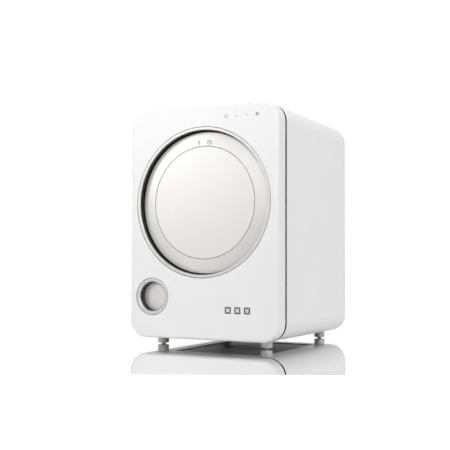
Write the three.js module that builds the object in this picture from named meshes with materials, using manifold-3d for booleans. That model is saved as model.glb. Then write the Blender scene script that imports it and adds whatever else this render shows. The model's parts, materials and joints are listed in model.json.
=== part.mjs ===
// A compact front-loading clothes dryer, as an assembly of separate pieces.
// Millimetres, +Z up. The origin is on the floor under the middle of the body. The front face looks
// along -Y. X runs to the right for someone facing the front.
import * as THREE from "three";
import { mergeVertices } from "three/addons/utils/BufferGeometryUtils.js";
import Module from "manifold-3d";

const wasm = await Module();
wasm.setup();

// ---------------------------------------------------------------- driving dimensions

// Body
const bodyWidth = 418;
const bodyHeight = 580;
const bodyDepth = 488;
const footHeight = 20; // floor to the underside of the body
const outlineRadius = 45; // corners of the body seen from the front
const frontEdgeRadius = 12;
const rearEdgeRadius = 20;
const shellWall = 2.5;
const panelWall = 3;
const panelDepth = 41.5; // front face to the joint with the body
const seamWidth = 9;
const seamRecess = 5; // how far the gasket's groove lies below the outer surface
const gasketInset = 1.2; // how far its two lips lie below that surface
const gasketLip = 1.2;
const gasketDepth = 7;
const lipDepth = 14; // inward return of the shell at its front edge
const baseMargin = 36; // flat rim round the opening in the underside, which carries the feet
const rearLip = 30; // inward return of the shell at its back
const coverOverlap = 6; // how far the rear cover reaches behind that return

// Door, and the well that it sits in
const wellRadius = 180.5;
const trimWidth = 7.5;
const trimThickness = 3;
const wellDepth = 39;
const wellWall = 2.5;
const neckStep = 24.5; // the well narrows by this much into the neck
const doorEdgeGap = 3;
const doorRecess = 12;
const doorRimDrop = 5.5; // the band slopes back by this much from its groove to its rim
const doorEdgeDepth = 17; // the band's skin turns back this far behind the door's front
const doorSkin = 3;
const doorBandWidth = 36.7;
const doorGroove = 0.8;
const doorFrameInset = 4;
const doorFrameDepth = 18.7;
const doorBowlDepth = 24;
const sealWidth = 5.5;
const hingeInset = 9; // hinge axis behind the front face
const hingeOutset = 11.5; // hinge axis outside the well
const hingeArmOffset = 30; // the two arms above and below the door's centre
const hingeArmHeight = 12;
const hingeArmThickness = 5;
const hingePinRadius = 2.5;

// Drum
const drumOverhang = 7.5; // the drum's wall stands this far outside the well
const drumWall = 2;
const bulkheadInset = 80; // front face to the front bulkhead
const bulkheadWall = 2.5;
const feltLength = 8;
const lifterHeight = 38;
const lifterCount = 3;
const rearCavity = 76; // rear bulkhead to the back of the body
const drumRearGap = 24; // drum back to the rear bulkhead
const shaftRadius = 10;

// Drive
const motorX = 100;
const motorHeight = 90; // motor axis above the base pan
const motorRadius = 42;
const motorLength = 100;
const rotorRadius = 6;
const pulleyRadius = 14;
const beltWidth = 12;
const beltThickness = 2.2;
const beltY = -56;
const idlerRadius = 11;
const fanRadius = 50;
const fanDepth = 36;
const ductHeight = 40;
const ductDrop = 20; // exhaust duct's centre below the motor's axis
const collarRadius = 33;

// Button
const buttonX = -142;
const buttonHeight = 104.6; // above the underside of the body
const buttonRadius = 36.1;
const buttonGap = 0.9;
const buttonTrimWidth = 9.6;
const buttonRecess = 19.5;
const buttonThickness = 9.5;
const buttonEdge = 1; // chamfer round its face
const buttonTravel = 4;
const buttonWellDepth = 42;

// Small parts
const lightCount = 4;
const lightX = 69; // first window
const lightPitch = 28;
const lightDrop = 30; // below the top of the body
const lightRadius = 1.5;
const footX = 148;
const footFrontInset = 67;
const footRearInset = 63;
const footRadius = 14.5;
const collarHeight = 17; // fixed collar over each foot
const footStemRadius = 6;
const panRib = 10; // turned-up edges of the base pan
const filterWidth = 160;
const filterHeight = 26;
const filterDrop = 46; // filter centre below the top of the body
const inletX = -120;
const inletHeight = 56;

// Clearances
const touch = 0.3; // between pieces that rest on each other
const running = 0.5; // between a turning piece and what it turns in
const bigFacets = 36;
const midFacets = 20;
const smallFacets = 12;

// ---------------------------------------------------------------- places worked out from them

const frontY = -bodyDepth / 2;
const backY = bodyDepth / 2;
const bottomZ = footHeight;
const topZ = footHeight + bodyHeight;
const middleZ = footHeight + bodyHeight / 2;
const axisZ = middleZ + 51; // door and drum centre, a little above the middle
const panelBackY = frontY + panelDepth;
const shellFrontY = panelBackY + seamWidth;
const bulkheadY = frontY + bulkheadInset;
const drumFrontY = bulkheadY + bulkheadWall + touch + feltLength + touch;
const rearBulkheadY = backY - rearCavity;
const drumBackY = rearBulkheadY - drumRearGap;
const coverBackY = backY - shellWall - touch;
const coverFrontY = coverBackY - panelWall;
const panZ = bottomZ + shellWall + touch; // underside of the base pan
const panTopZ = panZ + shellWall;
const panHalfWidth = bodyWidth / 2 - outlineRadius;
const motorZ = panTopZ + motorHeight - 3;
const doorRadius = wellRadius - doorEdgeGap;
const grooveRadius = doorRadius - doorBandWidth;
const neckRadius = wellRadius - neckStep;
const drumRadius = wellRadius + drumOverhang;
const doorFrameRadius = doorRadius - doorFrameInset;
const doorBackDepth = doorRecess + doorSkin + 1 + doorFrameDepth;
const hingeX = wellRadius + hingeOutset;
const lipRadius = neckRadius + 2;
const fanFrontY = beltY + 142;
const ductX = 2; // centre of the exhaust duct
const ductZ = motorZ - ductDrop;

// ---------------------------------------------------------------- solids

function solidOf(geometry) {
  const bare = geometry.clone();
  bare.deleteAttribute("normal");
  bare.deleteAttribute("uv");
  const merged = mergeVertices(bare, 1e-4);
  return new wasm.Manifold(
    new wasm.Mesh({
      numProp: 3,
      vertProperties: merged.attributes.position.array,
      triVerts: new Uint32Array(merged.index.array),
    }),
  );
}

function geometryOf(solid) {
  const mesh = solid.getMesh();
  const geometry = new THREE.BufferGeometry();
  geometry.setAttribute("position", new THREE.BufferAttribute(mesh.vertProperties, 3));
  geometry.setIndex(new THREE.BufferAttribute(mesh.triVerts, 1));
  geometry.computeVertexNormals();
  return geometry;
}

// A box between two corners.
function box(x0, x1, y0, y1, z0, z1) {
  const geometry = new THREE.BoxGeometry(x1 - x0, y1 - y0, z1 - z0);
  return solidOf(geometry.translate((x0 + x1) / 2, (y0 + y1) / 2, (z0 + z1) / 2));
}

// A cylinder along Y.
function rod(radius, y0, y1, x = 0, z = 0, facets = midFacets) {
  const geometry = new THREE.CylinderGeometry(radius, radius, y1 - y0, facets);
  return solidOf(geometry.translate(x, (y0 + y1) / 2, z));
}

// A cylinder along Z.
function post(radius, z0, z1, x = 0, y = 0, facets = smallFacets) {
  const geometry = new THREE.CylinderGeometry(radius, radius, z1 - z0, facets);
  return solidOf(geometry.rotateX(Math.PI / 2).translate(x, y, (z0 + z1) / 2));
}

// A turned piece around Y. The profile is a list of [radius, y], closed on itself or on the axis.
function turned(profile, facets = bigFacets) {
  const points = profile.map(([r, y]) => new THREE.Vector2(r, y));
  if (THREE.ShapeUtils.area(points) < 0) points.reverse();
  const onAxis = points[0].x === 0 && points.at(-1).x === 0;
  if (!onAxis) points.push(points[0].clone());
  return solidOf(new THREE.LatheGeometry(points, facets));
}

// A ring around Y.
function ring(inner, outer, y0, y1, facets = bigFacets) {
  return turned([[inner, y0], [outer, y0], [outer, y1], [inner, y1]], facets);
}

// The body's outline seen from the front, drawn in by an inset.
function outline(inset) {
  const x = bodyWidth / 2 - inset;
  const low = bottomZ + inset;
  const high = topZ - inset;
  const r = Math.max(outlineRadius - inset, 4);
  const shape = new THREE.Shape();
  shape.moveTo(-x + r, low);
  shape.lineTo(x - r, low);
  shape.absarc(x - r, low + r, r, -Math.PI / 2, 0);
  shape.lineTo(x, high - r);
  shape.absarc(x - r, high - r, r, 0, Math.PI / 2);
  shape.lineTo(-x + r, high);
  shape.absarc(-x + r, high - r, r, Math.PI / 2, Math.PI);
  shape.lineTo(-x, low + r);
  shape.absarc(-x + r, low + r, r, Math.PI, Math.PI * 1.5);
  return shape;
}

// A plate of an outline in X and Z, from y0 to y1.
function plate(shape, y0, y1) {
  const options = { depth: y1 - y0, bevelEnabled: false, curveSegments: 3 };
  const geometry = new THREE.ExtrudeGeometry(shape, options);
  return solidOf(geometry.rotateX(Math.PI / 2).translate(0, y1, 0));
}

// The same with both end edges rounded.
function roundedPlate(shape, y0, y1, radius) {
  const geometry = new THREE.ExtrudeGeometry(shape, {
    depth: y1 - y0 - 2 * radius,
    bevelThickness: radius,
    bevelSize: radius,
    bevelOffset: -radius,
    bevelSegments: 3,
    curveSegments: 3,
  });
  return solidOf(geometry.rotateX(Math.PI / 2).translate(0, y1 - radius, 0));
}

// A coil spring around Y from y0 to y1.
class Helix extends THREE.Curve {
  constructor(radius, y0, y1, turns) {
    super();
    Object.assign(this, { radius, y0, y1, turns });
  }
  getPoint(t, target = new THREE.Vector3()) {
    const angle = t * this.turns * Math.PI * 2;
    const y = this.y0 + (this.y1 - this.y0) * t;
    return target.set(this.radius * Math.cos(angle), y, this.radius * Math.sin(angle));
  }
}

function coilSpring(radius, wire, y0, y1, turns) {
  const section = new THREE.Shape();
  section.absarc(0, 0, wire, 0, Math.PI * 2);
  const path = new Helix(radius, y0 + wire, y1 - wire, turns);
  const options = { steps: turns * 8, curveSegments: 3, bevelEnabled: false, extrudePath: path };
  return solidOf(new THREE.ExtrudeGeometry(section, options));
}

function joined(...solids) {
  return solids.reduce((whole, solid) => whole.add(solid));
}

function cut(solid, ...tools) {
  return tools.reduce((rest, tool) => rest.subtract(tool), solid);
}

// ---------------------------------------------------------------- finishes

const finish = (color, roughness, metalness = 0) =>
  new THREE.MeshStandardMaterial({ color, roughness, metalness });

const finishes = {
  silverPaint: finish(0xe4e3e2, 0.35),
  trimMetal: finish(0xc8c8c8, 0.25, 0.8),
  blackPlastic: finish(0x16181a, 0.4),
  rubber: finish(0x141414, 0.8),
  steel: finish(0xb9bbbd, 0.3, 1),
  galvanised: finish(0x9fa3a6, 0.5, 0.9),
  castMetal: finish(0x8b8f92, 0.55, 0.9),
  greyPlastic: finish(0x8c8f91, 0.5),
  clearPlastic: finish(0xdde6ea, 0.1),
  felt: finish(0x6d6a64, 0.95),
  board: finish(0x1f5a3a, 0.5),
};

function piece(name, solid, material) {
  const mesh = new THREE.Mesh(geometryOf(solid), finishes[material]);
  mesh.name = name;
  return mesh;
}

// ---------------------------------------------------------------- casing

function frontPanel() {
  const slab = roundedPlate(outline(0), frontY, panelBackY + 4 * frontEdgeRadius, frontEdgeRadius);
  const rimY = panelBackY - 6;
  const behind = box(-bodyWidth, bodyWidth, panelBackY, backY, 0, topZ + 1);
  const hollow = cut(
    roundedPlate(outline(panelWall), frontY + panelWall, panelBackY + 4 * frontEdgeRadius,
      frontEdgeRadius - panelWall),
    box(-bodyWidth, bodyWidth, rimY, backY, 0, topZ + 1),
  );
  const mouth = plate(outline(seamRecess + gasketDepth), rimY - 1, panelBackY + 1);
  const doorHole = rod(wellRadius + trimWidth + touch, frontY - 1, rimY, 0, axisZ, bigFacets);
  const buttonHole = rod(buttonHoleRadius(), frontY - 1, rimY, buttonX, buttonZ());
  return piece("front_panel", cut(slab, behind, hollow, mouth, doorHole, buttonHole, ...lightHoles()),
    "silverPaint");
}

function buttonZ() {
  return bottomZ + buttonHeight;
}

function buttonHoleRadius() {
  return buttonRadius + buttonGap + buttonTrimWidth + touch;
}

function lightPlaces() {
  return Array.from({ length: lightCount }, (_, i) => lightX + i * lightPitch);
}

function lightHoles() {
  const z = topZ - lightDrop;
  const hole = (x) => rod(lightRadius + touch, frontY - 1, frontY + panelWall + 1, x, z, 8);
  return lightPlaces().map(hole);
}

function seamGasket() {
  const frontY = panelBackY + touch;
  const endY = shellFrontY - touch;
  const outer = plate(outline(gasketInset), frontY, endY);
  const inner = plate(outline(seamRecess + gasketDepth), panelBackY, shellFrontY);
  const groove = cut(
    plate(outline(0), frontY + gasketLip, endY - gasketLip),
    plate(outline(seamRecess), panelBackY, shellFrontY),
  );
  return piece("seam_gasket", cut(outer, inner, groove), "rubber");
}

function cabinetShell() {
  const start = shellFrontY - 2 * rearEdgeRadius;
  const block = roundedPlate(outline(0), start, backY, rearEdgeRadius);
  const ahead = box(-bodyWidth, bodyWidth, start - 1, shellFrontY, 0, topZ + 1);
  const innerRadius = rearEdgeRadius - shellWall;
  const hollow = cut(
    roundedPlate(outline(shellWall), start, backY - shellWall, innerRadius),
    box(-bodyWidth, bodyWidth, start - 1, shellFrontY + shellWall, 0, topZ + 1),
  );
  const mouth = plate(outline(lipDepth), shellFrontY - 1, shellFrontY + shellWall + 1);
  const back = plate(outline(rearLip), backY - shellWall - 1, backY + 1);
  const baseX = panHalfWidth - baseMargin;
  const base = box(-baseX, baseX, shellFrontY + baseMargin, backY - rearEdgeRadius - baseMargin,
    bottomZ - 1, bottomZ + shellWall + 1);
  const shell = cut(block, ahead, hollow, mouth, back, base, ...footHoles(bottomZ));
  return piece("cabinet_shell", shell, "silverPaint");
}

function footPlaces() {
  const ys = { front: frontY + footFrontInset, rear: backY - footRearInset };
  const xs = { left: -footX, right: footX };
  return Object.entries(ys).flatMap(([end, y]) =>
    Object.entries(xs).map(([side, x]) => ({ name: `${end}_${side}`, x, y })));
}

function footHoles(z) {
  return footPlaces().map(({ x, y }) => post(footStemRadius + running, z - 1, z + shellWall + 1, x, y));
}

function basePan() {
  const x = panHalfWidth;
  const y0 = shellFrontY + shellWall + running;
  const y1 = backY - rearEdgeRadius - running;
  const sheet = box(-x, x, y0, y1, panZ, panTopZ);
  const ribs = [-1, 1].map((side) =>
    box(side * (x - 1.5) - 1.5, side * (x - 1.5) + 1.5, y0, y1, panZ, panTopZ + panRib));
  return piece("base_pan", cut(joined(sheet, ...ribs), ...footHoles(panZ)), "blackPlastic");
}

// Rear cover with its air slots, and the moulded sleeve that the intake filter slides in.
function rearCover() {
  const sheet = plate(outline(rearLip - coverOverlap), coverFrontY, coverBackY);
  const z = topZ - filterDrop;
  const halfW = filterWidth / 2 + running;
  const halfH = filterHeight / 2 + running;
  const sleeveY = coverFrontY - 50;
  const sleeve = box(-halfW - 2, halfW + 2, sleeveY, coverFrontY + 1, z - halfH - 2, z + halfH + 2);
  const slot = box(-halfW, halfW, sleeveY - 1, coverBackY + 1, z - halfH, z + halfH);
  const airSlots = Array.from({ length: 8 }, (_, i) => {
    const slotZ = axisZ + 130 - i * 14;
    return box(-70, 70, coverFrontY - 1, coverBackY + 1, slotZ - 2.5, slotZ + 2.5);
  });
  const collarHole = rod(collarRadius + touch, coverFrontY - 1, coverBackY + 1, ductX, ductZ);
  const inletZ = bottomZ + inletHeight;
  const inletHole = box(inletX - 15.3, inletX + 15.3, coverFrontY - 1, coverBackY + 1,
    inletZ - 12.3, inletZ + 12.3);
  return piece("rear_cover", cut(joined(sheet, sleeve), slot, ...airSlots, collarHole, inletHole),
    "greyPlastic");
}

function powerInlet() {
  const z = bottomZ + inletHeight;
  const housing = box(inletX - 15, inletX + 15, coverFrontY - 22, coverBackY + touch, z - 12, z + 12);
  const flange = box(inletX - 22, inletX + 22, coverBackY + touch, coverBackY + 2, z - 17, z + 17);
  const socket = box(inletX - 11, inletX + 11, coverFrontY - 14, backY, z - 8, z + 8);
  const pins = [-6, 0, 6].map((x) =>
    box(inletX + x - 1, inletX + x + 1, coverFrontY - 15, coverBackY - 4, z - 2, z + 2));
  return piece("power_inlet", joined(cut(joined(housing, flange), socket), ...pins), "blackPlastic");
}

function feet() {
  const group = new THREE.Group();
  const collarFloor = footHeight - collarHeight;
  for (const { name, x, y } of footPlaces()) {
    const collar = cut(
      post(footRadius, collarFloor, footHeight - touch),
      post(footStemRadius + running, collarFloor - 1, footHeight),
    );
    const stem = post(footStemRadius, 0, panTopZ + 8);
    const pieces = [
      piece("foot_collar_" + name, collar, "castMetal"),
      piece("levelling_foot_" + name, stem, "castMetal"),
    ];
    pieces.forEach((mesh) => mesh.position.set(x, y, 0));
    group.add(...pieces);
  }
  return group;
}

// ---------------------------------------------------------------- door and its well
// Everything here is centred on the door, with y counted back from the front face.

function doorWell() {
  const trim = ring(wellRadius, wellRadius + trimWidth, 0, trimThickness);
  const start = trimThickness + touch;
  const end = bulkheadInset - touch;
  const outer = wellRadius + wellWall;
  const neckOuter = neckRadius + wellWall;
  const tunnel = turned([
    [wellRadius, start], [outer, start], [outer, wellDepth + wellWall],
    [neckOuter, wellDepth + wellWall], [neckOuter, end], [neckRadius, end],
    [neckRadius, wellDepth], [wellRadius, wellDepth],
  ]);
  const armSlots = [-1, 1].map((side) => {
    const z = side * hingeArmOffset;
    const half = hingeArmHeight / 2 + 2;
    return box(neckRadius + 14, hingeX, start - 1, wellDepth - touch, z - half, z + half);
  });
  return [
    piece("door_trim_ring", trim, "trimMetal"),
    piece("door_tunnel", cut(tunnel, ...armSlots), "blackPlastic"),
  ];
}

// Bracket behind the front panel that carries the hinge pin, with an ear on each side of each arm.
function hingeBracket() {
  const wallX = bodyWidth / 2 - panelWall - 6;
  const half = hingeArmHeight / 2;
  const top = hingeArmOffset + half + 5;
  const back = box(wallX - 2, wallX, frontEdgeRadius - panelWall, panelDepth - 8, -top, top);
  const ears = [-1, 1].flatMap((side) => [-1, 1].map((way) => {
    const z = side * hingeArmOffset + way * (half + 2.5);
    return box(hingeX - 4, wallX - 1, 4, hingeInset + 5, z - 2, z + 2);
  }));
  const pin = post(hingePinRadius, -top, top, hingeX, hingeInset);
  return piece("hinge_bracket", joined(back, ...ears, pin), "steel");
}

function catchMagnet() {
  const x = -doorFrameRadius;
  const magnet = box(x - 1, x + 4.5, doorBackDepth + 1.6, wellDepth - touch, -15, 15);
  return piece("catch_magnet", magnet, "blackPlastic");
}

function arc(cx, cy, r, from, to, steps) {
  return Array.from({ length: steps + 1 }, (_, i) => {
    const a = from + ((to - from) * i) / steps;
    return [cx + r * Math.cos(a), cy + r * Math.sin(a)];
  });
}

/** The point at a radius that lies a given depth under the outer band's sloping surface. */
function bandPoint(radius, under) {
  const slope = doorRimDrop / doorBandWidth;
  return [radius, doorRecess + under + slope * (radius - grooveRadius)];
}

function doorSkins() {
  const half = doorGroove / 2;
  const centre = [[0, doorRecess], [grooveRadius - half, doorRecess],
    [grooveRadius - half, doorRecess + doorSkin], [0, doorRecess + doorSkin]];
  const band = [
    bandPoint(grooveRadius + half, 0),
    bandPoint(doorRadius, 0),
    [doorRadius, doorRecess + doorEdgeDepth],
    [doorRadius - doorSkin, doorRecess + doorEdgeDepth],
    bandPoint(doorRadius - doorSkin, doorSkin),
    bandPoint(grooveRadius + half, doorSkin),
  ];
  return [
    piece("door_centre_disc", turned(centre), "silverPaint"),
    piece("door_outer_band", turned(band), "silverPaint"),
  ];
}

function doorInner() {
  const front = doorRecess + doorSkin + touch;
  const back = doorBackDepth;
  const rimInner = doorRadius - doorSkin - touch;
  const frame = turned([
    [grooveRadius - 24, front], bandPoint(grooveRadius, doorSkin + touch),
    bandPoint(rimInner - 1, doorSkin + touch),
    [rimInner - 1, doorRecess + doorEdgeDepth + 1],
    [doorFrameRadius, back], [neckRadius - 14, back],
    [neckRadius - 14, back - 4], [grooveRadius - 24, back - 4],
  ]);
  const bowlRim = neckRadius - 8;
  const bowlTop = bowlRim - 20;
  const bowl = turned([
    [0, back + doorBowlDepth], [bowlTop, back + doorBowlDepth], [bowlRim, back + touch + doorSkin],
    [bowlRim + 5, back + touch + doorSkin], [bowlRim + 5, back + touch],
    [bowlRim - 3, back + touch], [bowlTop - 3, back + doorBowlDepth - doorSkin],
    [0, back + doorBowlDepth - doorSkin],
  ]);
  const seal = ring(neckRadius + 1.5, neckRadius + 1.5 + sealWidth, back + touch, wellDepth - touch);
  const strikeX = -doorFrameRadius;
  const strike = box(strikeX + 0.5, strikeX + 4.5, back + touch, back + 1.3, -15, 15);
  return [
    piece("door_frame", frame, "greyPlastic"),
    piece("door_bowl", bowl, "clearPlastic"),
    piece("door_seal", seal, "rubber"),
    piece("door_strike_plate", strike, "steel"),
  ];
}

// Two gooseneck arms on one plate: back from the pin, then inwards to the door frame.
function doorHingeArm() {
  const half = hingeArmThickness / 2;
  const backFace = doorBackDepth + touch;
  const z = hingeArmHeight / 2;
  const tipX = neckRadius + 1.5 + sealWidth + 0.7;
  const arms = [-1, 1].map((side) => {
    const middle = side * hingeArmOffset;
    const knuckle = post(hingePinRadius + 2.5, middle - z, middle + z, hingeX, hingeInset);
    const bore = post(hingePinRadius + running, middle - z - 1, middle + z + 1, hingeX, hingeInset);
    const leg = box(hingeX - half, hingeX + half, hingeInset, backFace + 2.6, middle - z, middle + z);
    const foot = box(tipX, hingeX + half, backFace, backFace + 2.6, middle - z, middle + z);
    return cut(joined(knuckle, leg, foot), bore);
  });
  const bridge = box(tipX, tipX + 5, backFace, backFace + 2.6, -hingeArmOffset, hingeArmOffset);
  return piece("door_hinge_arm", joined(...arms, bridge), "steel");
}

// ---------------------------------------------------------------- button and lights
// Centred on the button, with y counted back from the front face.

function buttonParts() {
  const wellInner = buttonRadius + buttonGap;
  const floorY = buttonWellDepth;
  const stemRadius = 6;
  const capBack = buttonRecess + buttonThickness;
  const switchY = floorY + 14;
  const trim = ring(wellInner, wellInner + buttonTrimWidth, 0, trimThickness, midFacets);
  const cup = turned([
    [wellInner, trimThickness + touch], [wellInner + 2, trimThickness + touch],
    [wellInner + 2, floorY], [stemRadius + running, floorY], [stemRadius + running, floorY - 2],
    [wellInner, floorY - 2],
  ], midFacets);
  const arms = [-1, 1].map((side) =>
    box(side * 15 - 1.5, side * 15 + 1.5, floorY - 1, switchY + 18, -8, 8));
  const cap = turned([
    [0, buttonRecess], [buttonRadius - buttonEdge, buttonRecess],
    [buttonRadius, buttonRecess + buttonEdge],
    [buttonRadius, capBack], [buttonRadius - 3, capBack], [buttonRadius - 3, buttonRecess + 6],
    [stemRadius, buttonRecess + 6], [stemRadius, switchY - buttonTravel - running],
    [0, switchY - buttonTravel - running],
  ], midFacets);
  const spring = coilSpring(stemRadius + 4, 1, buttonRecess + 6 + touch, floorY - 2 - touch, 4);
  const body = box(-13, 13, switchY, switchY + 18, -7, 7);
  const fixed = [
    piece("button_trim_ring", trim, "trimMetal"),
    piece("button_well", joined(cup, ...arms), "blackPlastic"),
    piece("button_switch", body, "greyPlastic"),
  ];
  const moving = [
    piece("start_button", cap, "trimMetal"),
    piece("button_spring", spring, "steel"),
  ];
  return [...fixed, ...moving];
}

function lightGuide() {
  const z = topZ - lightDrop;
  const y = frontY + panelWall + touch;
  const last = lightX + (lightCount - 1) * lightPitch;
  const bar = box(lightX - 8, last + 8, y, y + 5, z - 6, z + 6);
  const pins = lightPlaces().map((x) => rod(lightRadius, frontY + 0.1, y + 1, x, z, 8));
  return piece("light_guide", joined(bar, ...pins), "clearPlastic");
}

function controlBoard() {
  const z = topZ - lightDrop;
  const y = frontY + panelWall + touch + 5 + touch;
  const card = box(lightX - 16, lightX + 100, y, y + 1.6, z - 13, z + 13);
  const relay = box(lightX + 8, lightX + 28, y + 1, y + 16, z - 9, z + 9);
  const capacitor = rod(6, y + 1, y + 18, lightX + 46, z, smallFacets);
  const plug = box(lightX + 66, lightX + 90, y + 1, y + 11, z - 7, z + 7);
  return piece("control_board", joined(card, relay, capacitor, plug), "board");
}

// ---------------------------------------------------------------- bulkheads and drum
// Centred on the drum's axis, with y as it is in the body.

function bulkheads() {
  const front = plate(outline(shellWall + touch), bulkheadY, bulkheadY + bulkheadWall);
  const mouth = rod(neckRadius + 1, bulkheadY - 1, bulkheadY + 4, 0, axisZ, bigFacets);
  const rear = plate(outline(shellWall + touch), rearBulkheadY, rearBulkheadY + bulkheadWall);
  const backY1 = rearBulkheadY + bulkheadWall + 1;
  const shaftHole = rod(shaftRadius + 3, rearBulkheadY - 1, backY1, 0, axisZ);
  const airHole = box(-60, 60, rearBulkheadY - 1, backY1, axisZ + 72, axisZ + 148);
  const half = ductHeight / 2 + 2;
  const ductHole = box(ductX - half, ductX + half, rearBulkheadY - 1, backY1,
    ductZ - half, ductZ + half);
  const panHalf = panHalfWidth + running;
  const panNotch = box(-panHalf, panHalf, frontY, backY, 0, panTopZ + panRib + running);
  return [
    piece("front_bulkhead", cut(front, mouth, panNotch), "galvanised"),
    piece("rear_bulkhead", cut(rear, shaftHole, airHole, ductHole, panNotch), "galvanised"),
  ];
}

function drumParts() {
  const inner = drumRadius - drumWall;
  const shell = ring(inner, drumRadius, drumFrontY, drumBackY);
  const frontRing = ring(lipRadius, inner - touch, drumFrontY, drumFrontY + 3);
  const backFace = drumBackY - 1;
  const vents = Array.from({ length: 8 }, (_, i) => {
    const a = (i / 8) * Math.PI * 2;
    return rod(16, backFace - 4, backFace + 1, 110 * Math.cos(a), 110 * Math.sin(a), 10);
  });
  const back = cut(turned([
    [0, backFace - 3], [inner - touch, backFace - 3], [inner - touch, backFace], [0, backFace],
  ]), ...vents);
  const shaftEnd = rearBulkheadY + bulkheadWall + 28;
  const shaft = turned([
    [0, backFace + touch], [30, backFace + touch], [30, backFace + 5], [shaftRadius, backFace + 5],
    [shaftRadius, shaftEnd], [0, shaftEnd],
  ], midFacets);
  const felt = ring(lipRadius + 2, lipRadius + 14, bulkheadY + bulkheadWall + touch,
    drumFrontY - touch);
  return {
    turning: [
      piece("drum_shell", shell, "steel"),
      piece("drum_front_ring", frontRing, "steel"),
      piece("drum_back", back, "steel"),
      piece("drum_shaft", shaft, "castMetal"),
      ...lifters(inner, drumFrontY + 8, backFace - 8),
    ],
    fixed: [piece("drum_felt_seal", felt, "felt"), bearingHousing()],
  };
}

// Each lifter is a ridge with sloping sides, standing inwards from the drum wall.
function lifters(inner, y0, y1) {
  const flat = inner * Math.cos(Math.PI / bigFacets) - 4;
  const section = new THREE.Shape();
  section.moveTo(-26, flat);
  section.lineTo(26, flat);
  section.lineTo(9, flat - lifterHeight);
  section.lineTo(-9, flat - lifterHeight);
  const solid = plate(section, y0, y1);
  return Array.from({ length: lifterCount }, (_, i) => {
    const mesh = piece(`drum_lifter_${i + 1}`, solid, "greyPlastic");
    mesh.rotation.y = (i / lifterCount) * Math.PI * 2;
    return mesh;
  });
}

function bearingHousing() {
  const y = rearBulkheadY + bulkheadWall + touch;
  const bore = shaftRadius + running;
  return piece("bearing_housing", turned([
    [bore, y], [45, y], [45, y + 4], [26, y + 6], [26, y + 22], [bore, y + 22],
  ], midFacets), "castMetal");
}

function heater() {
  const y = rearBulkheadY + bulkheadWall + touch;
  const low = axisZ + 56;
  const high = axisZ + 164;
  const shell = cut(
    box(-80, 80, y, y + 36, low, high),
    box(-78, 78, y - 1, y + 34, low + 2, high - 2),
    box(-50, 50, y + 30, y + 40, low + 20, high - 20),
  );
  const bars = [24, 46, 68, 90].map((rise) => box(-66, 66, y + 10, y + 16, low + rise - 3, low + rise + 3));
  const ends = [-1, 1].map((side) =>
    box(side * 64 - 2, side * 64 + 2, y + 8, y + 18, low + 16, high - 12));
  return [
    piece("heater_box", shell, "galvanised"),
    piece("heater_element", joined(...bars, ...ends), "steel"),
  ];
}

// ---------------------------------------------------------------- drive
// Centred on the motor's axis unless it says otherwise.

function motorParts() {
  const start = beltY + 16;
  const end = start + motorLength;
  const bore = rotorRadius + running;
  const housing = turned([
    [bore, start], [18, start], [22, start + 6], [motorRadius - 4, start + 8],
    [motorRadius, start + 14], [motorRadius, end - 14], [motorRadius - 4, end - 8],
    [22, end - 6], [18, end], [bore, end],
  ], midFacets);
  const low = panTopZ + touch - motorZ;
  const block = box(-motorRadius - 8, motorRadius + 8, start + 20, end - 20, low, -20);
  const cradle = cut(
    block,
    rod(motorRadius + touch, start, end),
    box(-motorRadius + 6, motorRadius - 6, start, end, low + 3, -motorRadius - 4),
  );
  return [
    piece("motor_body", housing, "castMetal"),
    piece("motor_bracket", cradle, "galvanised"),
  ];
}

function rotorParts() {
  const half = beltWidth / 2 + 0.5;
  const pulley = turned([
    [rotorRadius + touch, beltY - half - 3], [pulleyRadius + 3, beltY - half - 3],
    [pulleyRadius + 3, beltY - half], [pulleyRadius, beltY - half],
    [pulleyRadius, beltY + half], [pulleyRadius + 3, beltY + half],
    [pulleyRadius + 3, beltY + half + 3], [rotorRadius + touch, beltY + half + 3],
  ], midFacets);
  const shaft = rod(rotorRadius, beltY - 16, fanFrontY + fanDepth + 6, 0, 0, smallFacets);
  const hubBore = rod(rotorRadius + touch, fanFrontY - 1, fanFrontY + fanDepth + 1);
  const hub = rod(rotorRadius + 7, fanFrontY, fanFrontY + fanDepth);
  const disc = rod(fanRadius, fanFrontY, fanFrontY + 2.5);
  const blades = Array.from({ length: 10 }, (_, i) => {
    const blade = box(fanRadius - 20, fanRadius - 1, fanFrontY + 2, fanFrontY + fanDepth, -1, 1);
    return blade.rotate([0, 36 * i, 0]);
  });
  return [
    piece("motor_shaft", shaft, "steel"),
    piece("drive_pulley", pulley, "castMetal"),
    piece("fan_impeller", cut(joined(hub, disc, ...blades), hubBore), "greyPlastic"),
  ];
}

function blower() {
  const wall = 2.5;
  const inner = fanRadius + 4;
  const y0 = fanFrontY - 4 - wall;
  const y1 = fanFrontY + fanDepth + 3 + wall;
  const spoutX = ductX + ductHeight / 2 + 4 - motorX;
  const low = ductZ - motorZ - ductHeight / 2;
  const outer = joined(rod(inner + wall, y0, y1), box(spoutX, 0, y0, y1, low, low + ductHeight));
  const hollow = joined(
    rod(inner, y0 + wall, y1 - wall),
    box(spoutX - 1, 0, y0 + wall, y1 - wall, low + wall, low + ductHeight - wall),
  );
  const eye = rod(26, y0 - 1, y0 + wall + 1);
  const shaftHole = rod(rotorRadius + 2, y1 - wall - 1, y1 + 1);
  return piece("blower_housing", cut(outer, hollow, eye, shaftHole), "greyPlastic");
}

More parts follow.
